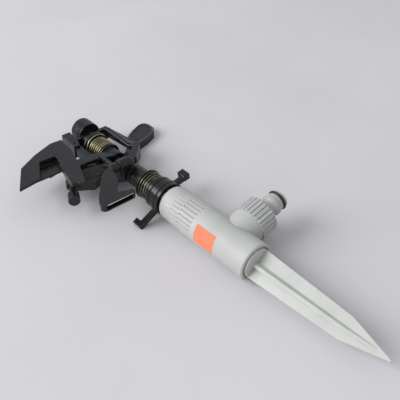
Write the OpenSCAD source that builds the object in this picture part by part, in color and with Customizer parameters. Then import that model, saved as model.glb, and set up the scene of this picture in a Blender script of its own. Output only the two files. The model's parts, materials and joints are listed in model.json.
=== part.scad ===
// Impact sprinkler on a ground spike: spike, side-inlet body, bearing with stop rings,
// and a turning head with hammer arm, trip lever and diffuser screw.
// Z is the spin axis, up. Z = 0 is the bottom rim of the body, at soil level.
// X points along the hose inlet. The head's own front is its -X side.

/* [Spike] */
// Length of the spike below the rim
spike_len = 113; // [90:1:150]
// Width of the wide blade at the flange
blade_w = 24; // [18:1:25]
// Width of the wide blade where the point begins
blade_end_w = 18; // [12:1:20]
// Length of the pointed end
point_len = 34; // [25:1:45]
// Thickness of the blades
blade_t = 2.6; // [2:0.1:4]
// Depth of the fins that cross the wide blade
fin_w = 10; // [8:0.5:24]
// Turn of the wide blade from the inlet
blade_turn = -27; // [-45:1:45]

/* [Body] */
// Height of the body
body_h = 93; // [85:1:110]
// Largest outer radius, near the rim
body_r = 15.5; // [15:0.1:18]
// Outer radius below the shoulder
shoulder_r = 14.4; // [14:0.1:15.5]
// Wall thickness
body_wall = 2.2; // [2:0.1:3]
// Number of grip grooves
grip_count = 26; // [18:1:32]
// Height where the upper row of grip grooves starts
grip_top = 80; // [70:1:86]
// Length of the upper row of grip grooves
grip_len = 9; // [5:0.5:12]
// Length of the lower row of grip grooves
grip_len_low = 15; // [10:0.5:20]
// Height of the inlet axis above the rim
inlet_z = 28.7; // [27:0.1:36]

/* [Hose connector] */
// Outer radius of the ribbed nut
nut_r = 15.7; // [15:0.1:18]
// Length of the ribbed nut
nut_len = 15.3; // [12:0.1:20]
// Number of ribs on the nut
nut_ribs = 28; // [20:1:32]
// Radius of the widest ridge on the nipple
ridge_r = 8.8; // [8.6:0.05:9]
// Length of the nipple beyond the nut
nipple_len = 19.5; // [18:0.5:24]
// Radius of the water bore in the nipple
nipple_bore_r = 4.8; // [4:0.1:5.2]

/* [Bearing] */
// Outer radius of the bearing nipple under the stop rings
nipple_r = 10.5; // [10:0.1:11]
// Outer radius of the turning tube
tube_r = 6.8; // [6.4:0.1:7.2]
// Wall of the turning tube
tube_wall = 1.3; // [1:0.1:1.8]
// Height of one stop ring
ring_h = 7.4; // [6:0.1:9]
// Outer radius of the lower stop ring
ring_r = 14.3; // [13.5:0.1:15]
// Reach of the lower ear from the axis
lower_reach = 33; // [32:0.5:36]
// Reach of the upper ear from the axis
upper_reach = 30; // [29.5:0.25:31]
// Direction of the lower ear
lower_ear_at = 166; // [120:1:170]
// Direction of the upper ear
upper_ear_at = 4; // [-20:1:60]
// Wire thickness of the bearing spring
bearing_wire = 1.9; // [1.5:0.1:2.2]
// Free height of the bearing spring
bearing_spring_h = 12; // [10:0.5:16]

/* [Head] */
// Turn of the head from the inlet
head_turn = 14; // [0:1:30]
// Outer radius of the neck and the barrel
barrel_r = 9; // [8.5:0.1:9.5]
// Length of the neck up to the barrel's axis
neck_len = 23.2; // [22:0.1:25]
// Rise of the jet above level, degrees
jet_rise = 27; // [24:0.5:30]
// Length of the barrel from the spin axis to its mouth
barrel_len = 41.5; // [38:0.5:42]
// Radius of the water jet at the nozzle
jet_r = 2.2; // [1.5:0.1:3]
// Half depth of the bridge
bridge_d = 6; // [5:0.25:7]
// Distance of the rear upright from the axis
upright_x = 16.4; // [16:0.1:18]
// Thickness of the rear upright
upright_t = 5; // [4:0.1:6]
// Depth of the rear upright
upright_d = 7; // [6:0.25:9]
// Rise of the bridge's top plate above the arm's hub
bridge_rise = 43; // [41:0.5:46]
// Thickness of the top plate
top_t = 4; // [3:0.25:5]
// Radius of the ribbed knob
knob_r = 10.7; // [10:0.1:12]
// Height of the ribbed knob
knob_h = 15; // [12:0.5:18]
// Number of ribs on the knob
knob_ribs = 30; // [20:1:36]

/* [Hammer arm] */
// Rise of the arm's hub above the barrel's axis
hub_rise = 18; // [17:0.25:20]
// Height of the arm's hub
hub_h = 13.2; // [10:0.1:14]
// Outer radius of the hub
hub_r = 8.6; // [7:0.1:8.8]
// Near face of the strap and the spoon's side plate
strap_y = -12.8; // [-14:0.1:-12.5]
// Thickness of the strap
strap_t = 2.6; // [2:0.1:2.8]
// Radius of the pivot pin
pin_r = 2; // [1.5:0.1:2.5]
// Wire thickness of the torsion spring
torsion_wire = 1.5; // [1:0.1:1.8]
// Turns of the torsion spring
torsion_turns = 10; // [6:1:11]
// Outer radius of the torsion spring
torsion_r = 10.6; // [9:0.1:11]
// Thickness of the tail
tail_t = 8; // [6:0.5:9]
// Reach of the spoon's tip from the axis
spoon_reach = 91.2; // [85:0.1:95]
// Depth of the spoon, front to back
spoon_d = 7; // [5:0.25:7.5]
// Reach of the tail from the axis
tail_reach = 67.6; // [60:0.1:72]

/* [Trip lever] */
// Drop of the trip lever's pin below the barrel's axis
trip_drop = 5.5; // [5:0.25:7]
// Distance of the trip lever's pin in front of the axis
trip_y = -14.5; // [-16:0.1:-14]
// Thickness of the trip lever's plate
trip_t = 3; // [2:0.1:3.5]
// Rise of the trip lever's foot above the lower stop ring's underside
foot_rise = 8.1; // [7.8:0.1:9]

/* [Diffuser] */
// Distance of the diffuser's lug beyond the barrel's mouth, level
lug_gap = 7; // [6:0.25:9]
// Drop of the diffuser's lug below the jet
lug_drop = 8.7; // [8.5:0.1:9.5]
// Radius of the diffuser's stem
stem_r = 2.8; // [2:0.1:3]
// Radius of the diffuser's knob
diffuser_r = 4.8; // [4.5:0.1:5.5]

/* [Label] */
// Length of the sticker round the body
label_w = 15; // [10:0.5:18]
// Height of the sticker
label_h = 19.5; // [10:0.5:20]

/* [Hidden] */
$fn = 96;
eps = 0.01;
run_gap = 0.06;
free_gap = 0.3;
seat_gap = 0.02;

// spike and body
flange_r = body_r - body_wall - 0.3;
flange_t = 3.4;
flange_drop = 1.4;
grip_step = 3.5;
grip_floor_r = shoulder_r - 0.2;
grip_w = 0.8;
grip_w_low = 1;
grip_row_gap = 0.8;
rim_round = 1.5;
shoulder_round = 3;
top_wall = 12;
inner_r = shoulder_r - body_wall;
floor_z = flange_t - flange_drop;
floor_t = 2.5;

// hose connector, along X
boss_x = body_r + 7;
boss_r = nut_r - 1;
boss_root_r = nut_r - 2.4;
boss_flare_x = body_r - 4;
boss_thread_r = 12.6;
boss_bore_r = 9;
nut_x = boss_x;
nut_end = nut_x + nut_len;
washer_t = 2.2;
nut_floor_x = nut_x + 9.5;
nut_chamfer = 1.2;
rib_groove = 0.8;
rib_groove_w = 0.9;
collar_t = 2.5;
nipple_end = nut_end + nipple_len;
neck_r = ridge_r - 2.2;
cone_len = 3;
ridge_x = nut_end + 8.5;
ridge_len = 3;
ridge_ramp = 2.4;
o_ring_x = nipple_end - 3;
o_ring_s = 1.3;
o_ring_sink = 0.15;
seat_r = ridge_r - 1.1;
// sticker
label_at = 209;
label_low = 30.5;
label_t = 0.3;

// bearing stack
nipple_low = body_h - top_wall - 5.4;
nipple_thread_r = 9.4;
nipple_flange_r = 12.6;
nipple_flange_t = 1.6;
tube_collar_r = 9;
tube_collar_t = 3;
seal_t = 1.4;
thrust_t = 1.2;
tube_low = nipple_low - seal_t - thrust_t - tube_collar_t;
tube_in = tube_r - tube_wall;
ring1_z = body_h + nipple_flange_t + free_gap;
ring2_z = ring1_z + ring_h + free_gap;
ring_bore_r = nipple_r + run_gap;
upper_ring_r = ring_r - 0.7;
spring_z = ring2_z + ring_h + free_gap;
washer_z = spring_z + bearing_spring_h + seat_gap;
disc_t = 1.5;
neck_z = washer_z + disc_t;
neck_skirt_z = spring_z + 1.5;
neck_step_r = barrel_r + 1;
ear_w = 4.5;
ear_t = 4;
ear_lift = 1.5;
block_w = 5.5;
lower_block = 5;
upper_block = 6;

// head
barrel_z = neck_z + neck_len;
hub_z = barrel_z + hub_rise;
bridge_z = hub_z + bridge_rise;
bridge_top = bridge_z + top_t;
seat_z = bridge_z - 10.5;
nozzle_r = 6;
post_x = -19.5;
post_t = 6.2;
post_d = 4;
knob_x = 3.8;
knob_y = -3.2;
flange_len = 2;
insert_len = 8;
// arm
pin_foot = 8;
pin_len = bridge_z + 2.5 - hub_z + pin_foot;
pad_lift = 1.5;
tail_y = bridge_d + 0.6;
lip_d = 14;
vane_turn = 118;
edge_d = 5.6;
recess_wall = 1.5;
bush_t = 1.5;
spring_core_r = torsion_r - torsion_wire - 0.6;
weight_r = 6;
weight_t = 3;
// diffuser
lug_x = barrel_len + lug_gap;
lug_z = barrel_z + lug_x * tan(jet_rise) - lug_drop;
lug_r = 4.5;
lug_len = 8;
stem_up = 6;
stem_len = 25;
grip_at = 15;
grip_h = 8.6;

// trip lever
trip_z = barrel_z - trip_drop;
foot_z = ring1_z + foot_rise;
foot_d = 6.3;
foot_wall = 1.4;
trip_boss_r = 5.5;
trip_pin_r = 1.5;
boss_right = -5;
boss_left = -16;
sleeve_left = -25;
sleeve_r = 4.5;
pin_head_x = boss_right + 5;

module in_head() rotate([0, 0, head_turn]) children();

// Extrudes an outline drawn in the X-Z plane from y0 over a thickness towards +Y
module slab(y0, t) translate([0, y0 + t, 0]) rotate([90, 0, 0]) linear_extrude(t) children();

// One turn list of a round wire coil about Z, closed at both ends
module coil(mean_r, wire_r, turns, height, steps = 20, sides = 8) {
    n = turns * steps;
    pts = [for (i = [0:n], j = [0:sides - 1])
        let(a = 360 * i / steps, b = 360 * j / sides, r = mean_r + wire_r * cos(b))
        [r * cos(a), r * sin(a), wire_r + (height - 2 * wire_r) * i / n + wire_r * sin(b)]];
    skin = [for (i = [0:n - 1], j = [0:sides - 1])
        let(k = (j + 1) % sides)
        [i * sides + j, i * sides + k, (i + 1) * sides + k, (i + 1) * sides + j]];
    lids = [[for (j = [sides - 1:-1:0]) j], [for (j = [0:sides - 1]) n * sides + j]];
    polyhedron(points = pts, faces = concat(skin, lids), convexity = 10);
}

module spike() {
    wide_z = spike_len - point_len;
    color("gainsboro") {
        translate([0, 0, -flange_drop]) cylinder(h = flange_t, r = flange_r);
        rotate([0, 0, blade_turn]) {
            slab(-blade_t / 2, blade_t) polygon([
                [-blade_w / 2, -flange_drop + eps], [blade_w / 2, -flange_drop + eps],
                [blade_end_w / 2, -wide_z], [0.6, -spike_len], [-0.6, -spike_len],
                [-blade_end_w / 2, -wide_z]]);
            rotate([0, 0, 90]) slab(-blade_t / 2, blade_t) polygon([
                [-fin_w / 2, -flange_drop + eps], [fin_w / 2, -flange_drop + eps],
                [fin_w / 3, -wide_z], [0.6, -spike_len], [-0.6, -spike_len], [-fin_w / 3, -wide_z]]);
        }
    }
}

module body_outline() {
    polygon(concat(
        [[0, 0]],
        [for (a = [-90:15:0]) [body_r - rim_round + rim_round * cos(a), rim_round + rim_round * sin(a)]],
        [[body_r, body_h * 0.55]],
        [for (a = [0:15:90]) [shoulder_r - shoulder_round + shoulder_round * cos(a),
                              body_h - shoulder_round + shoulder_round * sin(a)]],
        [[0, body_h]]));
}

module body_housing() {
    color("lightgray") difference() {
        union() {
            rotate_extrude() body_outline();
            translate([0, 0, inlet_z]) rotate([0, 90, 0]) {
                cylinder(h = body_r, r = boss_root_r);
                translate([0, 0, boss_flare_x])
                    cylinder(h = boss_x - boss_flare_x, r1 = boss_root_r, r2 = boss_r);
                cylinder(h = nut_floor_x - washer_t, r = boss_thread_r);
            }
        }
        // recess for the spike's flange
        translate([0, 0, -eps]) cylinder(h = floor_z + eps, r = flange_r + 0.1);
        // water chamber
        translate([0, 0, floor_z + floor_t]) cylinder(h = body_h - top_wall - floor_z - floor_t, r = inner_r);
        // thread bore for the bearing nipple
        translate([0, 0, body_h - top_wall - eps]) cylinder(h = top_wall + 2 * eps, r = nipple_thread_r);
        // inlet bore
        translate([0, 0, inlet_z]) rotate([0, 90, 0]) cylinder(h = nut_floor_x, r = boss_bore_r);
        // grip grooves
        for (i = [0:grip_count - 1]) rotate([0, 0, 360 * (i + 0.2) / grip_count]) {
            translate([grip_floor_r, -grip_w / 2, grip_top - grip_len]) cube([3, grip_w, grip_len]);
            rotate([0, 0, grip_step])
                translate([grip_floor_r, -grip_w_low / 2, grip_top - grip_len - grip_row_gap - grip_len_low])
                cube([3, grip_w_low, grip_len_low]);
        }
    }
}

module connector_nut() {
    color("silver") translate([0, 0, inlet_z]) rotate([0, 90, 0]) difference() {
        union() {
            translate([0, 0, nut_x + seat_gap]) cylinder(h = nut_len - nut_chamfer, r = nut_r);
            translate([0, 0, nut_end - nut_chamfer])
                cylinder(h = nut_chamfer, r1 = nut_r, r2 = nut_r - nut_chamfer);
        }
        // inside, over the body's threaded boss and the nipple's collar
        translate([0, 0, nut_x])
            cylinder(h = nut_floor_x + collar_t + seat_gap - nut_x, r = boss_thread_r + seat_gap);
        // hole that the nipple comes out of
        translate([0, 0, nut_x]) cylinder(h = nut_len + 1, r = ridge_r + run_gap);
        // grooves between the ribs
        for (i = [0:nut_ribs - 1]) rotate([0, 0, 360 * i / nut_ribs])
            translate([nut_r - rib_groove, -rib_groove_w / 2, nut_x - 1]) cube([3, rib_groove_w, nut_len]);
    }
}

module connector_nipple() {
    color("silver") translate([0, 0, inlet_z]) rotate([0, 90, 0]) difference() {
        union() {
            // collar that the nut presses on the washer
            translate([0, 0, nut_floor_x]) cylinder(h = collar_t, r = boss_thread_r - free_gap);
            translate([0, 0, nut_floor_x]) cylinder(h = nut_end - nut_floor_x, r = ridge_r);
            translate([0, 0, nut_end - eps]) cylinder(h = cone_len, r1 = ridge_r, r2 = neck_r);
            translate([0, 0, nut_end]) cylinder(h = ridge_x - nut_end, r = neck_r);
            translate([0, 0, ridge_x - ridge_ramp]) cylinder(h = ridge_ramp + eps, r1 = neck_r, r2 = ridge_r);
            translate([0, 0, ridge_x]) cylinder(h = ridge_len, r = ridge_r);
            translate([0, 0, ridge_x + ridge_len - eps])
                cylinder(h = nipple_end - ridge_x - ridge_len, r = seat_r);
        }
        // water bore
        cylinder(h = nipple_end + 1, r = nipple_bore_r);
        // groove for the o-ring
        translate([0, 0, o_ring_x - o_ring_s]) difference() {
            cylinder(h = 2 * o_ring_s, r = ridge_r + 1);
            translate([0, 0, -1]) cylinder(h = 2 * o_ring_s + 2, r = ridge_r - o_ring_sink - 2 * o_ring_s);
        }
    }
}

module nipple_o_ring() {
    color("#151515") translate([o_ring_x, 0, inlet_z]) rotate([0, 90, 0])
        rotate_extrude() translate([ridge_r - o_ring_sink - o_ring_s, 0]) circle(r = o_ring_s, $fn = 32);
}

module connector_washer() {
    color("#202020") translate([nut_floor_x - washer_t, 0, inlet_z]) rotate([0, 90, 0]) difference() {
        cylinder(h = washer_t, r = boss_thread_r - 0.3);
        translate([0, 0, -1]) cylinder(h = washer_t + 2, r = boss_bore_r);
    }
}

module bearing_nipple() {
    color("#1c1c1c") difference() {
        union() {
            translate([0, 0, nipple_low]) cylinder(h = body_h - nipple_low, r = nipple_thread_r);
            translate([0, 0, body_h]) cylinder(h = nipple_flange_t, r = nipple_flange_r);
            translate([0, 0, body_h]) cylinder(h = spring_z - body_h - 0.1, r = nipple_r);
        }
        translate([0, 0, nipple_low - 1]) cylinder(h = body_h, r = tube_r + run_gap);
        // seat for the gasket in the flange's underside
        translate([0, 0, body_h - eps]) difference() {
            cylinder(h = 0.9, r = nipple_flange_r - 0.8);
            translate([0, 0, -1]) cylinder(h = 3, r = nipple_thread_r);
        }
    }
}

module bearing_gasket() {
    color("#262626") translate([0, 0, body_h]) difference() {
        cylinder(h = 0.9 - eps, r = nipple_flange_r - 0.8);
        translate([0, 0, -1]) cylinder(h = 3, r = nipple_thread_r);
    }
}

module price_label() {
    span = label_w / body_r * 180 / PI;
    color("#f0876a") rotate([0, 0, label_at - span / 2]) rotate_extrude(angle = span)
        translate([body_r, label_low]) square([label_t, label_h]);
}

// A stop ring with one ear; the block at the ear's end rises to trip the lever
module stop_ring(z0, outer, at, reach, block_len, block_top) {
    translate([0, 0, z0]) rotate([0, 0, at]) difference() {
        union() {
            cylinder(h = ring_h, r = outer);
            translate([0, -ear_w / 2, ear_lift]) cube([reach - 1, ear_w, ear_t]);
            translate([reach - block_len, -block_w / 2, ear_lift])
                cube([block_len, block_w, block_top - z0 - ear_lift]);
        }
        translate([0, 0, -1]) cylinder(h = ring_h + 2, r = ring_bore_r);
        // groove round the ring
        translate([0, 0, ring_h / 2 - 0.6]) difference() {
            cylinder(h = 1.2, r = outer + 1);
            translate([0, 0, -1]) cylinder(h = 4, r = outer - 0.8);
            translate([0, -ear_w / 2, -1]) cube([reach, ear_w, 4]);
        }
    }
}

module lower_stop_ring() {
    color("#1e1e1e") stop_ring(ring1_z, ring_r, lower_ear_at, lower_reach, lower_block, foot_z + 2.2);
}

module upper_stop_ring() {
    color("#232323") stop_ring(ring2_z, upper_ring_r, upper_ear_at, upper_reach, upper_block, foot_z + 10);
}

module turning_tube() {
    color("#2a2a2a") difference() {
        union() {
            translate([0, 0, tube_low]) cylinder(h = neck_z + 14 - tube_low, r = tube_r);
            translate([0, 0, tube_low]) cylinder(h = tube_collar_t, r = tube_collar_r);
        }
        translate([0, 0, tube_low - 1]) cylinder(h = 200, r = tube_in);
    }
}

module thrust_washer() {
    color("white") translate([0, 0, tube_low + tube_collar_t]) difference() {
        cylinder(h = thrust_t, r = tube_collar_r);
        translate([0, 0, -1]) cylinder(h = 5, r = tube_r + run_gap);
    }
}

module thrust_seal() {
    color("#303030") translate([0, 0, tube_low + tube_collar_t + thrust_t]) difference() {
        cylinder(h = seal_t - seat_gap, r = tube_collar_r);
        translate([0, 0, -1]) cylinder(h = 5, r = tube_r + run_gap);
    }
}

module bearing_spring() {
    color("#8f8f85") translate([0, 0, spring_z])
        coil(nipple_r + bearing_wire / 2 - 0.4, bearing_wire / 2, 3.5, bearing_spring_h, 24, 8);
}

module spring_washer() {
    color("#191919") translate([0, 0, washer_z]) difference() {
        cylinder(h = disc_t, r = ring_r - 1.5);
        translate([0, 0, -1]) cylinder(h = 5, r = barrel_r + 0.1);
    }
}

module at_trip(u) translate([u, trip_y, trip_z]) rotate([0, 90, 0]) children();

module at_lug() translate([-lug_x, 0, lug_z]) rotate([0, jet_rise + 180, 0]) children();

module along_barrel() translate([0, 0, barrel_z]) rotate([0, -90 + jet_rise, 0]) children();

module head_frame() {
    color("#242424") in_head() difference() {
        union() {
            // neck with its skirt inside the spring
            translate([0, 0, neck_skirt_z]) cylinder(h = barrel_z - neck_skirt_z, r = barrel_r);
            translate([0, 0, neck_z]) cylinder(h = 3, r = neck_step_r);
            translate([0, 0, barrel_z]) sphere(r = barrel_r + 0.8);
            // barrel
            along_barrel() cylinder(h = barrel_len, r = barrel_r);
            // base of the bridge
            slab(-bridge_d, 2 * bridge_d) polygon([
                [0, barrel_z - 1], [8, barrel_z + 3], [upright_x + 8, barrel_z + 18.8],
                [upright_x + 1, barrel_z + 20], [0, barrel_z + 7]]);
            slab(-bridge_d, upright_d) polygon([
                [8, barrel_z + 3], [upright_x + upright_t + 5.4, barrel_z + 21],
                [upright_x + upright_t + 5.4, barrel_z + 23], [upright_x + upright_t, bridge_top],
                [upright_x, bridge_top], [upright_x + 4.6, barrel_z + 23], [8, barrel_z + 13]]);
            // front upright and top plate
            translate([post_x, -post_d, barrel_z + 8]) cube([post_t, 2 * post_d, bridge_top - barrel_z - 8]);
            translate([post_x, -bridge_d, bridge_z])
                cube([upright_x + upright_t - post_x, 2 * bridge_d, top_t]);
            // lower pivot boss
            translate([0, 0, barrel_z]) cylinder(h = hub_z - free_gap - barrel_z, r = 5);
            // upper spring seat
            translate([0, 0, seat_z]) cylinder(h = bridge_z - seat_z + eps, r = 7);
            translate([0, 0, seat_z]) cylinder(h = 2, r = torsion_r + 2);
            // stud under the knob
            translate([knob_x, knob_y, bridge_z]) cylinder(h = top_t + 8, r = 4);
            // boss of the trip lever
            at_trip(boss_left) cylinder(h = boss_right - boss_left, r = trip_boss_r);
            translate([boss_left + 3, trip_y, trip_z - 3]) cube([boss_right - boss_left - 3, -trip_y, 6]);
            // boom and lug of the diffuser
            slab(-4, 8) polygon([
                [-lug_x - 2.5, lug_z + 3], [-lug_x + 4, lug_z + 1], [-28, barrel_z + 11], [-18, barrel_z + 9],
                [-18, barrel_z], [-26, barrel_z + 3.5], [-35.5, barrel_z + 1], [-41, barrel_z + 5],
                [-lug_x - 3.5, lug_z - 4.5]]);
            at_lug() translate([0, 0, -lug_len / 2]) cylinder(h = lug_len, r = lug_r);
        }
        // water way
        translate([0, 0, neck_skirt_z - 1]) cylinder(h = neck_z + 14 - neck_skirt_z + 1, r = tube_r);
        translate([0, 0, neck_z]) cylinder(h = barrel_z - neck_z, r = tube_in);
        translate([0, 0, barrel_z]) sphere(r = tube_in + 0.4);
        along_barrel() cylinder(h = barrel_len + 1, r = tube_in - 0.5);
        along_barrel() translate([0, 0, barrel_len - insert_len]) cylinder(h = insert_len + 1, r = nozzle_r);
        // room for the nozzle's flange and for the jet
        along_barrel() translate([0, 0, barrel_len])
            cylinder(h = flange_len + 3 * seat_gap, r = barrel_r - 0.9);
        along_barrel() translate([0, 0, barrel_len]) cylinder(h = 12, r = jet_r + 0.5);
        // pivot pin holes
        translate([0, 0, hub_z - pin_foot]) cylinder(h = pin_len + seat_gap, r = pin_r + eps);
        // trip pin hole
        at_trip(boss_left - 1) cylinder(h = boss_right - boss_left + 2, r = trip_pin_r);
        // diffuser's thread bore
        at_lug() translate([0, 0, -lug_len]) cylinder(h = 2 * lug_len, r = stem_r + run_gap);
        // screw hole in the knob's stud
        translate([knob_x, knob_y, bridge_z + 1]) cylinder(h = 20, r = 1.4);
    }
}

module nozzle_insert() {
    color("#3a3a3a") in_head() along_barrel() difference() {
        union() {
            translate([0, 0, barrel_len - insert_len + seat_gap])
                cylinder(h = insert_len + 1, r = nozzle_r - seat_gap);
            translate([0, 0, barrel_len + seat_gap]) cylinder(h = flange_len, r = barrel_r - 1);
        }
        translate([0, 0, barrel_len - insert_len - 1])
            cylinder(h = insert_len - 1, r1 = nozzle_r - 1, r2 = jet_r);
        translate([0, 0, barrel_len - insert_len - 1]) cylinder(h = 2 * insert_len, r = jet_r);
    }
}

module arm_pivot_pin() {
    color("#b8b8b8") in_head() translate([0, 0, hub_z - pin_foot]) cylinder(h = pin_len, r = pin_r);
}

module torsion_spring() {
    color("#b59a4a") in_head() translate([0, 0, hub_z + hub_h + free_gap])
        coil(torsion_r - torsion_wire / 2, torsion_wire / 2, torsion_turns,
             seat_z - hub_z - hub_h - 2 * free_gap, 20, 6);
}

module spring_anchor() {
    color("#2b2b2b") in_head() difference() {
        translate([post_x, 0, bridge_z]) slab(-bridge_d, 2 * bridge_d)
            polygon([[-1.1, -8], [4.5, -8.4], [7.3, -1.5], [9.3, 15.5], [0.9, 15.5]]);
        translate([post_x - seat_gap, -post_d - seat_gap, 0])
            cube([post_t + 2 * seat_gap, 2 * (post_d + seat_gap), bridge_top + seat_gap]);
        translate([post_x - seat_gap, -bridge_d - 1, bridge_z - seat_gap])
            cube([20, 2 * bridge_d + 2, top_t + 2 * seat_gap]);
        translate([-17, -bridge_d - 1, bridge_z - 3]) rotate([-90, 0, 0]) cylinder(h = 2.5, r = 0.9);
    }
}

module tension_knob() {
    color("#2e2e2e") in_head() translate([knob_x, knob_y, bridge_top + free_gap]) difference() {
        union() {
            cylinder(h = knob_h - 1.5, r = knob_r);
            translate([0, 0, knob_h - 1.5 - eps]) cylinder(h = 1.5, r1 = knob_r, r2 = knob_r - 1.5);
        }
        translate([0, 0, -1]) cylinder(h = 9.1 - free_gap + 0.5, r = 4 + run_gap);
        translate([0, 0, -1]) cylinder(h = 40, r = 1.4 + run_gap);
        translate([0, 0, knob_h - 3]) cylinder(h = 4, r = 4.5);
        for (i = [0:knob_ribs - 1]) rotate([0, 0, 360 * i / knob_ribs])
            translate([knob_r - 0.6, -0.4, 1]) cube([3, 0.8, knob_h]);
    }
}

module knob_screw() {
    color("#c0c0c0") in_head() translate([knob_x, knob_y, bridge_top]) difference() {
        union() {
            cylinder(h = knob_h - 2.6 + free_gap, r = 1.4);
            translate([0, 0, knob_h - 2.9 + free_gap]) cylinder(h = 1.8, r = 3.4);
        }
        translate([-2.4, -0.4, knob_h - 1.7]) cube([4.8, 0.8, 3]);
    }
}

module trip_pin() {
    color("#2a2a2a") in_head() {
        at_trip(sleeve_left + 1.2) cylinder(h = pin_head_x - sleeve_left - 1.2, r = trip_pin_r);
        at_trip(pin_head_x) cylinder(h = 1.5, r = 3.2);
    }
}

module trip_spring() {
    color("#a8a8a8") in_head() at_trip(boss_right + 0.4) coil(2.6, 0.4, 4, 4, 16, 6);
}

module hammer_arm() {
    color("#262626") in_head() difference() {
        union() {
            // hub with the seat under the spring
            translate([0, 0, hub_z]) cylinder(h = hub_h, r = hub_r);
            translate([0, 0, hub_z + hub_h - 1.4]) cylinder(h = 1.4, r = torsion_r + 0.3);
            // sleeve that guides the spring from inside
            translate([0, 0, hub_z]) cylinder(h = seat_z - free_gap - hub_z, r = spring_core_r);
            // front bar, swung out from the hub to the strap
            translate([0, 0, hub_z]) linear_extrude(8.5) polygon([
                [-42, strap_y], [-42, strap_y + strap_t], [-34, -9.6], [-25, -8.6], [-14, -6], [-10, -9.6],
                [-20, -11.9], [-30, strap_y]]);
            translate([0, 0, hub_z]) linear_extrude(8) polygon([
                [-18, -11.4], [-16, -7], [-5, -3], [6, -2], [7, -5], [-2, -7.6], [-10, -9.6]]);
            // pad that strikes the front upright
            translate([post_x + 1, strap_y + 1, hub_z + pad_lift])
                cube([post_t - 2, -post_d - 0.1 - strap_y - 1, 5]);
            // strap
            slab(strap_y, strap_t) polygon([
                [-39, hub_z + 43.5], [-28.2, bridge_z], [-29.6, hub_z + 25.5], [-36, hub_z + 4],
                [-46.4, hub_z - 21.4], [-49.4, hub_z - 21], [-55.8, hub_z - 14.4], [-50.6, hub_z + 6.2]]);
            // flange down the strap's outer edge
            slab(strap_y, edge_d) polygon([
                [-49.6, hub_z + 10], [-47.4, hub_z + 10], [-48.6, hub_z + 5.8], [-53.8, hub_z - 14],
                [-48.4, hub_z - 19.4], [-46.8, hub_z - 19.6], [-46.4, hub_z - 21.4],
                [-49.4, hub_z - 21], [-55.8, hub_z - 14.4], [-50.6, hub_z + 6.2]]);
            spoon();
            // tail
            slab(tail_y, tail_t) tail_outline();
            translate([-4, 0, hub_z]) cube([10, tail_y + 3.4, 13]);
        }
        translate([0, 0, hub_z - 1]) cylinder(h = hub_h + 1, r = pin_r + bush_t);
        translate([0, 0, hub_z]) cylinder(h = seat_z - hub_z, r = pin_r + 2 * run_gap);
        // pocket for the weight
        at_weight() cylinder(h = weight_t + 1, r = weight_r + seat_gap);
    }
}

// Side plate of the spoon with a window, closed behind by a recessed wall that carries the jet vane
module spoon() {
    translate([-spoon_reach, 0, hub_z]) difference() {
        union() {
            slab(strap_y, strap_t) polygon([
                [-0.5, 1.7], [14.6, 26.2], [33.2, 36.5], [52.2, 43.5], [51.2, 8], [17, 4.2]]);
            slab(strap_y, spoon_d) polygon([[16.4, 4.2], [29.9, 27.4], [47.2, 26.6], [46.7, 4.2]]);
            // lip along the top
            slab(strap_y, lip_d) polygon([
                [15.2, 25.2], [33.2, 35.2], [51.2, 41.9], [51.8, 40.2], [34, 33.4], [16, 23.4]]);
            // vane in the jet
            translate([44.4, strap_y + spoon_d - 1, 0]) rotate([0, 0, vane_turn]) slab(0, 1.6)
                polygon([[0, 10.5], [14, 22], [14, 27], [0, 26]]);
        }
        slab(strap_y - 1, spoon_d + 1 - recess_wall)
            polygon([[17, -7], [17.7, 2], [30.9, 25.2], [45.2, 24.4], [42.2, -7]]);
        slab(strap_y - 1, spoon_d + 2) polygon([[17, -7], [17.7, 2], [22, 9.4], [44.6, 9.4], [42.2, -7]]);
        slab(strap_y + strap_t, spoon_d) polygon([[10, -7], [10, 5], [17.7, 9.4], [22, 9.4], [22, -7]]);
    }
}

module tail_outline() translate([tail_reach, hub_z]) polygon([
    [-69.6, 0], [-69.6, 13], [-55.6, 13.2], [-47.6, 16], [-37.6, 25], [-29.7, 36], [-20.6, 41.2],
    [-10.6, 45.3], [-5.6, 45.8], [-2.1, 43.8], [-0.3, 39], [-0.6, 32.7], [-5.6, 25.8],
    [-17.6, 21.3], [-28.6, 19],
    [-35.6, 9], [-43.6, 2.5], [-53.6, 0]]);

module at_weight() translate([tail_reach - 11, tail_y + tail_t - weight_t, hub_z + 34])
    rotate([-90, 0, 0]) children();

module arm_bush() {
    color("#c9b06a") in_head() translate([0, 0, hub_z]) difference() {
        cylinder(h = hub_h, r = pin_r + bush_t);
        translate([0, 0, -1]) cylinder(h = 20, r = pin_r + run_gap);
    }
}

module arm_weight() {
    color("#303030") in_head() at_weight() cylinder(h = weight_t - seat_gap, r = weight_r);
}

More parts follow.
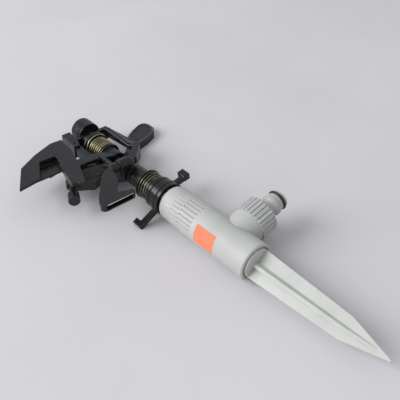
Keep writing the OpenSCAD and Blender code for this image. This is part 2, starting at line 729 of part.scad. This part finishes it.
module trip_lever() {
    plate_y = trip_y - trip_t;
    color("#2c2c2c") in_head() difference() {
        union() {
            at_trip(sleeve_left) cylinder(h = boss_left - sleeve_left - free_gap, r = sleeve_r);
            slab(plate_y, trip_t) polygon([
                [-24, trip_z + 1.5], [-35, trip_z - 4.5], [-45, trip_z - 16.2], [-54.5, foot_z + 11],
                [-57.4, foot_z + 6], [-57.8, foot_z + 3], [-56.4, foot_z + 0.8], [-54, foot_z], [-28, foot_z],
                [-28, foot_z + 4], [-38.6, foot_z + 9], [-28.6, trip_z - 17], [-24.4, trip_z - 4],
                [-17, trip_z - 3.5], [-17, trip_z + 1.5]]);
            // foot
            slab(plate_y, foot_d) polygon([
                [-57.5, foot_z + 5], [-57.8, foot_z + 3], [-56.4, foot_z + 0.8], [-54, foot_z],
                [-29, foot_z], [-27, foot_z + 1.5], [-27, foot_z + 5]]);
            // tongue that the hammer arm passes over
            translate([-20, trip_y - 1.5, trip_z]) cube([3, 3, hub_z - 1 - trip_z]);
        }
        at_trip(sleeve_left + 1) cylinder(h = 40, r = trip_pin_r + run_gap);
        // hollow in the foot's underside
        translate([-54.5, plate_y + foot_wall, foot_z - 1]) cube([24, foot_d - 2 * foot_wall, 1 + 3.4]);
    }
}

module at_diffuser() in_head() at_lug() children();

module diffuser_stem() {
    color("#2d2d2d") at_diffuser() translate([0, 0, -stem_up]) cylinder(h = stem_len, r = stem_r);
}

module diffuser_knob() {
    color("#222222") at_diffuser() translate([0, 0, grip_at]) difference() {
        cylinder(h = grip_h, r = diffuser_r);
        translate([0, 0, -1]) cylinder(h = stem_len - stem_up - grip_at + 1 + 0.1, r = stem_r + run_gap);
    }
}

spike();
body_housing();
connector_nut();
connector_nipple();
nipple_o_ring();
connector_washer();
bearing_nipple();
bearing_gasket();
price_label();
lower_stop_ring();
upper_stop_ring();
head_frame();
turning_tube();
thrust_washer();
thrust_seal();
bearing_spring();
spring_washer();
nozzle_insert();
arm_pivot_pin();
torsion_spring();
spring_anchor();
tension_knob();
knob_screw();
trip_pin();
trip_spring();
hammer_arm();
arm_bush();
arm_weight();
trip_lever();
diffuser_stem();
diffuser_knob();
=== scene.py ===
"""Looks of the impact sprinkler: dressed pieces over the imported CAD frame, floor, light and camera."""

import json
import math

import bmesh
import bpy
from mathutils import Matrix, Vector


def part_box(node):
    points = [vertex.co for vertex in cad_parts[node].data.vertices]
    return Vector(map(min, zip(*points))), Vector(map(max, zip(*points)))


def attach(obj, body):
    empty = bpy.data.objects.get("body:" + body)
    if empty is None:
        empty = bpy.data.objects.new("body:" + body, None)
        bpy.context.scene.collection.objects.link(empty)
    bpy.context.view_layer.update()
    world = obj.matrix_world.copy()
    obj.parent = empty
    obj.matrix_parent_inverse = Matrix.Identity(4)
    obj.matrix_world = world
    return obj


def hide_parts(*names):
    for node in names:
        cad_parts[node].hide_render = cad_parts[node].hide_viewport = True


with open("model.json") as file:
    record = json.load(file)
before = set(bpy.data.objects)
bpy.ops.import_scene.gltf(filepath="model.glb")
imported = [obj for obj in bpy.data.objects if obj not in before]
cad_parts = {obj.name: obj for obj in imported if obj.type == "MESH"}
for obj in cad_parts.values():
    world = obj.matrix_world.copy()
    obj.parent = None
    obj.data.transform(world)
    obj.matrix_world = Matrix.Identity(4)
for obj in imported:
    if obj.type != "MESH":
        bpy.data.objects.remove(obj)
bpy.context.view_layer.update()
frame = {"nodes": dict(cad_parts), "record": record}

MM = 0.001
WELD = 0.002 * MM
HEAD_TURN = math.radians(14)
BLADE_TURN = math.radians(-27)
HEAD = Matrix.Rotation(HEAD_TURN, 4, "Z")
BODY_OF = {
    node: body
    for body, nodes in frame["record"]["behaviour"]["bodies"].items()
    for node in nodes
}
SLOT_OF = {p["node"]: p["material_slot"] for p in frame["record"]["subparts"]}


# ---------------------------------------------------------------- materials

def new_material(name):
    """A material with its node tree emptied but for the shader and the output."""
    mat = bpy.data.materials.new(name)
    mat.use_nodes = True
    tree = mat.node_tree
    tree.nodes.clear()
    shader = tree.nodes.new("ShaderNodeBsdfPrincipled")
    out = tree.nodes.new("ShaderNodeOutputMaterial")
    tree.links.new(shader.outputs["BSDF"], out.inputs["Surface"])
    return mat, tree, shader


def noise_node(tree, coords, scale, detail=4.0, roughness=0.55):
    node = tree.nodes.new("ShaderNodeTexNoise")
    node.inputs["Scale"].default_value = scale
    node.inputs["Detail"].default_value = detail
    node.inputs["Roughness"].default_value = roughness
    tree.links.new(coords, node.inputs["Vector"])
    return node.outputs["Fac"]


def remap(tree, value, low_in, high_in, low_out, high_out):
    node = tree.nodes.new("ShaderNodeMapRange")
    node.inputs["From Min"].default_value = low_in
    node.inputs["From Max"].default_value = high_in
    node.inputs["To Min"].default_value = low_out
    node.inputs["To Max"].default_value = high_out
    tree.links.new(value, node.inputs["Value"])
    return node.outputs["Result"]


def mix_colour(tree, factor, first, second):
    node = tree.nodes.new("ShaderNodeMix")
    node.data_type = "RGBA"
    tree.links.new(factor, node.inputs["Factor"])
    for socket, value in ((node.inputs[6], first), (node.inputs[7], second)):
        if isinstance(value, tuple):
            socket.default_value = (*value, 1)
        else:
            tree.links.new(value, socket)
    return node.outputs[2]


def bump(tree, heights):
    """Chains bumps given as (height, strength, distance) and returns the last normal."""
    normal = None
    for height, strength, distance in heights:
        node = tree.nodes.new("ShaderNodeBump")
        node.inputs["Strength"].default_value = strength
        node.inputs["Distance"].default_value = distance
        tree.links.new(height, node.inputs["Height"])
        if normal:
            tree.links.new(normal, node.inputs["Normal"])
        normal = node.outputs["Normal"]
    return normal


def moulded_plastic(
        name, colour, dust_and_highlight_colour, rough, grain, highlight_amount=0.7, specular=0.5, specks=0.0, corner_shade=0.42):
    """Cloudy moulded plastic with paler edges, partly rubbed wear and partly painted highlight, corners
    and creases darkened as painted shade, dust, fine grain and uneven gloss.
    """
    mat, tree, shader = new_material(name)
    links = tree.links
    coords = tree.nodes.new("ShaderNodeTexCoord").outputs["Object"]
    geometry = tree.nodes.new("ShaderNodeNewGeometry")
    cloud = noise_node(tree, coords, 38, 5)
    fine = noise_node(tree, coords, 900, 3)
    scratch = noise_node(tree, coords, 240, 6, 0.7)
    dust = noise_node(tree, coords, 1300, 2, 0.4)
    # Convex edges are paled in patches: partly rubbed wear, partly a painted highlight along the edges.
    edge = remap(tree, geometry.outputs["Pointiness"], 0.525, 0.60, 0, highlight_amount)
    patchy_highlight = tree.nodes.new("ShaderNodeMath")
    patchy_highlight.operation = "MULTIPLY"
    links.new(edge, patchy_highlight.inputs[0])
    links.new(remap(tree, scratch, 0.35, 0.65, 0.25, 1), patchy_highlight.inputs[1])
    paler = tuple(min(1.0, c * 1.06 + 0.002) for c in colour)
    deeper = tuple(c * 0.93 for c in colour)
    shade_colour = tuple(c * corner_shade for c in colour)
    clouded = mix_colour(tree, remap(tree, cloud, 0.3, 0.7, 0, 1), deeper, paler)
    dusty = mix_colour(tree, remap(tree, dust, 0.64, 0.74, 0, specks), clouded, dust_and_highlight_colour)
    # Painted shade: corners, creases and grooves (low pointiness) are darkened towards a darker copy of
    # the colour.
    corner = remap(tree, geometry.outputs["Pointiness"], 0.42, 0.485, 0.9, 0)
    corner_shaded = mix_colour(tree, corner, dusty, shade_colour)
    links.new(mix_colour(tree, patchy_highlight.outputs[0], corner_shaded, dust_and_highlight_colour), shader.inputs["Base Color"])
    links.new(remap(tree, scratch, 0.3, 0.7, rough - 0.06, rough + 0.1), shader.inputs["Roughness"])
    shader.inputs["Specular IOR Level"].default_value = specular
    normal = bump(tree, [(cloud, 0.08, 0.0004), (fine, grain, 0.00005)])
    links.new(normal, shader.inputs["Normal"])
    return mat


def metal(name, colour, dark, rough, lines):
    """Drawn or turned metal with tarnish in patches and fine lines across it."""
    mat, tree, shader = new_material(name)
    links = tree.links
    coords = tree.nodes.new("ShaderNodeTexCoord").outputs["Object"]
    tarnish = noise_node(tree, coords, 160, 5)
    fine = noise_node(tree, coords, lines, 2)
    tone = mix_colour(tree, remap(tree, tarnish, 0.35, 0.7, 0, 1), colour, dark)
    links.new(tone, shader.inputs["Base Color"])
    shader.inputs["Metallic"].default_value = 0.9
    links.new(remap(tree, fine, 0.3, 0.7, rough - 0.08, rough + 0.12), shader.inputs["Roughness"])
    links.new(bump(tree, [(fine, 0.25, 0.00003)]), shader.inputs["Normal"])
    return mat


def rubber(name):
    """Black rubber with a pale bloom in patches."""
    mat, tree, shader = new_material(name)
    links = tree.links
    coords = tree.nodes.new("ShaderNodeTexCoord").outputs["Object"]
    bloom = noise_node(tree, coords, 120, 5)
    fine = noise_node(tree, coords, 1400, 3)
    patches = remap(tree, bloom, 0.4, 0.75, 0, 1)
    tone = mix_colour(tree, patches, (0.010, 0.010, 0.011), (0.035, 0.035, 0.034))
    links.new(tone, shader.inputs["Base Color"])
    links.new(remap(tree, bloom, 0.3, 0.7, 0.42, 0.62), shader.inputs["Roughness"])
    links.new(bump(tree, [(fine, 0.3, 0.00004)]), shader.inputs["Normal"])
    return mat


def sticker(name):
    """Blotchy coral paper with paler fibres in it."""
    mat, tree, shader = new_material(name)
    links = tree.links
    coords = tree.nodes.new("ShaderNodeTexCoord").outputs["Object"]
    fibre = noise_node(tree, coords, 700, 6, 0.7)
    blotch = noise_node(tree, coords, 90, 4)
    patches = remap(tree, blotch, 0.3, 0.7, 0, 1)
    coral = mix_colour(tree, patches, (0.86, 0.165, 0.085), (0.95, 0.24, 0.13))
    tone = mix_colour(tree, remap(tree, fibre, 0.55, 0.75, 0, 0.35), coral, (1.0, 0.42, 0.30))
    links.new(tone, shader.inputs["Base Color"])
    links.new(remap(tree, fibre, 0.3, 0.7, 0.55, 0.75), shader.inputs["Roughness"])
    links.new(bump(tree, [(blotch, 0.15, 0.0003), (fibre, 0.2, 0.00005)]), shader.inputs["Normal"])
    return mat


# Each plastic's pale edge colour and its amount paint highlights along edges besides the dust specks; its
# last number darkens corners as painted shade, most on the spike and the connector.
MATERIALS = {
    "body_grey": moulded_plastic(
        "body_grey", (0.465, 0.470, 0.450), (0.70, 0.70, 0.68), 0.50, 0.12, 0.45, 0.35),
    "spike_grey": moulded_plastic(
        "spike_grey", (0.490, 0.498, 0.468), (0.72, 0.72, 0.69), 0.46, 0.14, 0.5, 0.4, 0.0, 0.22),
    "connector_grey": moulded_plastic(
        "connector_grey", (0.430, 0.435, 0.422), (0.88, 0.88, 0.87), 0.36, 0.08, 1.0, 0.5, 0.0, 0.16),
    "black_plastic": moulded_plastic(
        "black_plastic", (0.0068, 0.0069, 0.0074), (0.17, 0.17, 0.165), 0.27, 0.30, 0.85, 0.45, 0.35),
    "black_moulding": moulded_plastic(
        "black_moulding", (0.0055, 0.0056, 0.0060), (0.09, 0.09, 0.088), 0.24, 0.22, 0.7, 0.45, 0.2),
    # Paler black for the raised trims: a painted highlight along them.
    "highlight_black": moulded_plastic(
        "highlight_black", (0.036, 0.036, 0.037), (0.20, 0.20, 0.195), 0.30, 0.22, 0.8, 0.5, 0.5),
    # Pale grey for the strip along the trip foot: a painted highlight standing in for a glint.
    "painted_glint": moulded_plastic(
        "painted_glint", (0.60, 0.60, 0.58), (0.80, 0.80, 0.78), 0.26, 0.20, 0.8, 0.6, 0.2),
    "black_rubber": rubber("black_rubber"),
    "white_washer": moulded_plastic("white_washer", (0.70, 0.70, 0.67), (0.8, 0.8, 0.78), 0.4, 0.1, 0.3),
    "steel_pin": metal("steel_pin", (0.55, 0.55, 0.53), (0.30, 0.29, 0.27), 0.30, 1200),
    "spring_steel": metal("spring_steel", (0.56, 0.53, 0.44), (0.20, 0.18, 0.14), 0.28, 1500),
    "brass_wire": metal("brass_wire", (0.50, 0.45, 0.27), (0.20, 0.17, 0.09), 0.34, 1500),
    "dull_wire": metal("dull_wire", (0.40, 0.36, 0.25), (0.10, 0.09, 0.06), 0.30, 1500),
    "dark_steel": metal("dark_steel", (0.17, 0.165, 0.15), (0.05, 0.05, 0.045), 0.40, 1500),
    "brass_bush": metal("brass_bush", (0.60, 0.47, 0.22), (0.35, 0.26, 0.12), 0.3, 1100),
    "label_orange": sticker("label_orange"),
}


# ---------------------------------------------------------------- mesh helpers

def finish_piece(obj, node, material=None, replace=True):
    """Gives a dressed piece the material of its slot unless one is named, parents it to its body and, when
    it replaces one, hides the CAD node that it stands for.
    """
    slot = SLOT_OF[node]
    obj.data.materials.clear()
    obj.data.materials.append(MATERIALS[material or slot])
    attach(obj, BODY_OF[node])
    if replace:
        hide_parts(node)
    return obj


def link_mesh(name, bm, smooth_angle=35):
    """Makes an object of bm with edges sharper than smooth_angle kept crisp."""
    limit = math.radians(smooth_angle)
    for face in bm.faces:
        face.smooth = True
    for edge in bm.edges:
        edge.smooth = len(edge.link_faces) == 2 and edge.calc_face_angle(0) < limit
    mesh = bpy.data.meshes.new(name)
    bm.to_mesh(mesh)
    bm.free()
    obj = bpy.data.objects.new(name, mesh)
    bpy.context.scene.collection.objects.link(obj)
    return obj


def cad_mesh(node):
    """A cleaned copy of a CAD node's mesh: doubles merged and flat faces joined."""
    bm = bmesh.new()
    bm.from_mesh(frame["nodes"][node].data)
    bmesh.ops.remove_doubles(bm, verts=bm.verts, dist=WELD)
    bmesh.ops.dissolve_degenerate(bm, edges=bm.edges, dist=WELD)
    bmesh.ops.dissolve_limit(bm, angle_limit=math.radians(0.6), verts=bm.verts, edges=bm.edges)
    return bm


def add_bevel(obj, width, segments):
    """Rounds every edge that turns by more than 32 degrees."""
    mod = obj.modifiers.new("bevel", "BEVEL")
    mod.width = width
    mod.segments = segments
    mod.limit_method = "ANGLE"
    mod.angle_limit = math.radians(32)
    mod.harden_normals = True
    mod.use_clamp_overlap = True
    mod.miter_outer = "MITER_ARC"
    return obj


def dress(node, width, segments=3, material=None):
    """Stands a copy with bevelled edges in for a CAD node."""
    obj = link_mesh("looks_" + node, cad_mesh(node))
    add_bevel(obj, width, segments)
    return finish_piece(obj, node, material)


def sweep(name, points, radius, sides):
    """A round wire along a list of points, drawn in at its ends."""
    bm = bmesh.new()
    rings = []
    up = Vector((0, 0, 1))
    last = len(points) - 1
    for i, point in enumerate(points):
        ahead = points[min(i + 1, last)]
        behind = points[max(i - 1, 0)]
        along = (ahead - behind).normalized()
        side = along.cross(up)
        side = side.normalized() if side.length > 1e-6 else Vector((1, 0, 0))
        lift = side.cross(along).normalized()
        scale = 0.55 if i in (0, last) else 1.0
        ring = []
        for j in range(sides):
            turn = 2 * math.pi * j / sides
            offset = (side * math.cos(turn) + lift * math.sin(turn)) * radius * scale
            ring.append(bm.verts.new(point + offset))
        rings.append(ring)
    for first, second in zip(rings, rings[1:]):
        for j in range(sides):
            k = (j + 1) % sides
            bm.faces.new((first[j], first[k], second[k], second[j]))
    bm.faces.new(rings[0][::-1])
    bm.faces.new(rings[-1])
    bmesh.ops.recalc_face_normals(bm, faces=bm.faces)
    return link_mesh(name, bm, 60)


# ---------------------------------------------------------------- pieces

def moulded(node, voxel, rounds, shape=None):
    """An even skin over a CAD node, with smoothed edges; shape may change its bmesh first."""
    bm = bmesh.new()
    bm.from_mesh(frame["nodes"][node].data)
    bmesh.ops.remove_doubles(bm, verts=bm.verts, dist=WELD)
    if shape:
        shape(bm)
    obj = link_mesh("looks_" + node, bm, 180)
    skin = obj.modifiers.new("skin", "REMESH")
    skin.mode = "VOXEL"
    skin.voxel_size = voxel
    skin.use_smooth_shade = True
    soft = obj.modifiers.new("soft", "SMOOTH")
    soft.factor = 0.5
    soft.iterations = rounds
    return finish_piece(obj, node)


def spike_form(bm):
    """Draws the flange in, so that the gap round it shows, and leans the front fin a little."""
    _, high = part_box("spike")
    rim = high[0] - 0.35 * MM
    flange_gap = 0.8 * MM
    lean = 0.62
    blade_face = 1.3 * MM
    cos_turn = math.cos(BLADE_TURN)
    sin_turn = math.sin(BLADE_TURN)
    for vert in bm.verts:
        across = vert.co.x * cos_turn + vert.co.y * sin_turn
        out = vert.co.x * sin_turn - vert.co.y * cos_turn
        if abs(across) < 1.6 * MM and 1.5 * MM < out < 6 * MM:
            vert.co.x -= lean * (out - blade_face) * cos_turn
            vert.co.y -= lean * (out - blade_face) * sin_turn
        reach = math.hypot(vert.co.x, vert.co.y)
        if reach > rim:
            vert.co.x *= (reach - flange_gap) / reach
            vert.co.y *= (reach - flange_gap) / reach


# grid in millimetres and rounds of smoothing for each moulded piece
for node, (voxel, rounds) in {
    "body_housing": (0.25, 2), "connector_nut": (0.20, 1), "connector_nipple": (0.18, 1),
    "lower_stop_ring": (0.28, 4), "upper_stop_ring": (0.28, 4), "head_frame": (0.33, 3),
    "hammer_arm": (0.33, 3), "trip_lever": (0.28, 3), "spring_anchor": (0.26, 3),
    "tension_knob": (0.25, 2), "diffuser_knob": (0.25, 3), "nozzle_insert": (0.25, 3),
}.items():
    moulded(node, voxel * MM, rounds)
moulded("spike", 0.34 * MM, 2, spike_form)

# bevel in millimetres for each turned, cut or hidden piece
for node, width in {
    "connector_washer": 0.2, "bearing_nipple": 0.25, "bearing_gasket": 0.1, "turning_tube": 0.2,
    "thrust_washer": 0.15, "thrust_seal": 0.15, "spring_washer": 0.35, "arm_pivot_pin": 0.3,
    "knob_screw": 0.2, "trip_pin": 0.25, "arm_bush": 0.15, "arm_weight": 0.3, "diffuser_stem": 0.3,
    "nipple_o_ring": 0.05, "price_label": 0.05,
}.items():
    dress(node, width * MM)


def helix(centre, radius_at, low, high, turns, wire):
    """Points up a coil about Z; radius_at takes the share of the way up, from 0 to 1."""
    steps = 36
    points = []
    for i in range(int(turns * steps) + 1):
        share = i / (turns * steps)
        turn = 2 * math.pi * share * turns
        radius = radius_at(share)
        rise = low + wire + (high - low - 2 * wire) * share
        points.append(centre + Vector((radius * math.cos(turn), radius * math.sin(turn), rise)))
    return points


def coil(node, turns, wire, flare=0.0, material=None):
    """A spring as round wire, placed by its CAD solid's box; its top turn widens by flare."""
    low, high = (Vector(corner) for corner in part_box(node))
    outer = (high.x - low.x) / 2
    centre = Vector(((low.x + high.x) / 2, (low.y + high.y) / 2, 0))

    def radius_at(share):
        last = max(0.0, (share - 0.90) / 0.10)
        return outer - wire + min(1.0, last * 1.6) * flare

    points = helix(centre, radius_at, low.z, high.z, turns, wire)
    finish_piece(sweep("looks_" + node, points, wire, 10), node, material)


coil("torsion_spring", 7, 0.58 * MM, flare=1.7 * MM)
coil("bearing_spring", 4, 0.42 * MM, material="dull_wire")
dress("trip_spring", 0.02 * MM, 1, "dark_steel")


def in_head(u, w, z):
    """A point given along and across the head, in millimetres, in the shared frame."""
    return HEAD @ Vector((u * MM, w * MM, z * MM))


def trim(name, node, points, radius, material="highlight_black"):
    """A thin raised line moulded on a node, riding with it; by default its paler black paints a highlight
    along it.
    """
    obj = sweep(name, [in_head(*p) for p in points], radius * MM, 8)
    return finish_piece(obj, node, material, False)


def build_trims():
    """The rim round the tail paddle and ribs down an upright, paler as painted highlights, and a painted
    glint along the trip foot's edge.
    """
    pivot, _ = (Vector(corner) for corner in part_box("arm_bush"))
    hub = pivot.z / MM
    tip = 67.6
    tail_face = 6.4
    rib_face = -5.95
    foot_face = -16.9
    rim = [(-35.9, 25.6), (-28.7, 34.9), (-20.1, 39.9), (-10.5, 43.9), (-6.2, 44.3), (-3.3, 42.6),
           (-1.8, 38.8), (-2.1, 33.3), (-6.5, 27.1), (-17.9, 22.6), (-29.3, 20.3)]
    smooth = []
    for (a, b), (c, d) in zip(rim, rim[1:]):
        for k in range(4):
            smooth.append((tip + a + (c - a) * k / 4, tail_face, hub + b + (d - b) * k / 4))
    smooth.append((tip + rim[-1][0], tail_face, hub + rim[-1][1]))
    trim("tail_rim", "hammer_arm", smooth, 0.8)
    top = hub + 43
    trim("upright_rib", "head_frame",
         [(17.6, rib_face, top + 0.5), (17.6, rib_face, hub + 8), (21.2, rib_face, hub + 3)], 0.45)
    trim("upright_rib_outer", "head_frame",
         [(22.0, rib_face, top), (22.0, rib_face, hub + 12), (25.4, rib_face, hub + 6)], 0.35)
    _, body_top = (Vector(corner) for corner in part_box("body_housing"))
    foot = body_top.z / MM + 10
    # A pale strip along the foot's lower edge: a painted glint.
    trim("foot_glint", "trip_lever",
         [(-54.2, foot_face, foot + 0.1), (-52.5, foot_face, foot), (-30, foot_face, foot)],
         0.34, "painted_glint")


build_trims()


# ---------------------------------------------------------------- stage

def build_stage():
    """The pale table that the sprinkler lies on: upright behind the part, see-through from its back."""
    normal = Vector((0.2, -0.98, 0)).normalized()
    across = Vector((0, 0, 1)).cross(normal).normalized()
    centre = -15.7 * MM * normal
    reach = 1.6
    bm = bmesh.new()
    corners = [centre + across * a * reach + Vector((0, 0, b * reach))
               for a, b in ((-1, -1), (1, -1), (1, 1), (-1, 1))]
    face = bm.faces.new([bm.verts.new(c) for c in corners])
    face.normal_update()
    if face.normal.dot(normal) < 0:
        face.normal_flip()
    table = link_mesh("table", bm)
    mat, tree, shader = new_material("table")
    coords = tree.nodes.new("ShaderNodeTexCoord").outputs["Object"]
    mottle = noise_node(tree, coords, 6, 4)
    paper = noise_node(tree, coords, 300, 5)
    patches = remap(tree, mottle, 0.3, 0.7, 0, 1)
    tone = mix_colour(tree, patches, (0.614, 0.602, 0.622), (0.654, 0.642, 0.657))
    tree.links.new(tone, shader.inputs["Base Color"])
    shader.inputs["Roughness"].default_value = 0.8
    shader.inputs["Specular IOR Level"].default_value = 0.2
    tree.links.new(bump(tree, [(paper, 0.08, 0.0002)]), shader.inputs["Normal"])
    see_through = tree.nodes.new("ShaderNodeBsdfTransparent")
    blend = tree.nodes.new("ShaderNodeMixShader")
    facing = tree.nodes.new("ShaderNodeNewGeometry")
    tree.links.new(facing.outputs["Backfacing"], blend.inputs["Fac"])
    tree.links.new(shader.outputs["BSDF"], blend.inputs[1])
    tree.links.new(see_through.outputs["BSDF"], blend.inputs[2])
    out = [n for n in tree.nodes if n.type == "OUTPUT_MATERIAL"][0]
    tree.links.new(blend.outputs["Shader"], out.inputs["Surface"])
    table.data.materials.append(mat)


def build_light():
    """A pale room with one large soft window above and to the left of the viewer."""
    world = bpy.data.worlds.new("room")
    bpy.context.scene.world = world
    world.use_nodes = True
    back = world.node_tree.nodes["Background"]
    back.inputs["Color"].default_value = (0.93, 0.95, 1.0, 1)
    back.inputs["Strength"].default_value = 0.60
    target = Vector((0, 0, 0.06))
    way = Vector((-0.60, -0.66, 0.40)).normalized()
    lamp = bpy.data.lights.new("window", "AREA")
    lamp.shape = "DISK"
    lamp.size = 2.0
    lamp.energy = 64
    obj = bpy.data.objects.new("window", lamp)
    bpy.context.scene.collection.objects.link(obj)
    obj.location = target + way * 2.6
    obj.rotation_euler = way.to_track_quat("Z", "Y").to_euler()


def build_camera():
    """The photo's view: from below the head's front, rolled so that the spike points right."""
    cam = bpy.data.cameras.new("photo_view")
    cam.lens = 54
    cam.sensor_width = 36
    obj = bpy.data.objects.new("photo_view", cam)
    bpy.context.scene.collection.objects.link(obj)
    forward = Vector((0.3856, 0.7320, 0.5616)).normalized()
    right = Vector((0.7220, 0.1397, -0.6777))
    right = (right - forward * right.dot(forward)).normalized()
    up = right.cross(forward)
    turn = Matrix((right, up, -forward)).transposed().to_4x4()
    obj.matrix_world = Matrix.Translation((-0.16859, -0.34959, -0.19234)) @ turn
    cam.clip_start = 0.01
    bpy.context.scene.camera = obj


build_stage()
build_light()
build_camera()
bpy.context.scene.view_settings.view_transform = "Standard"
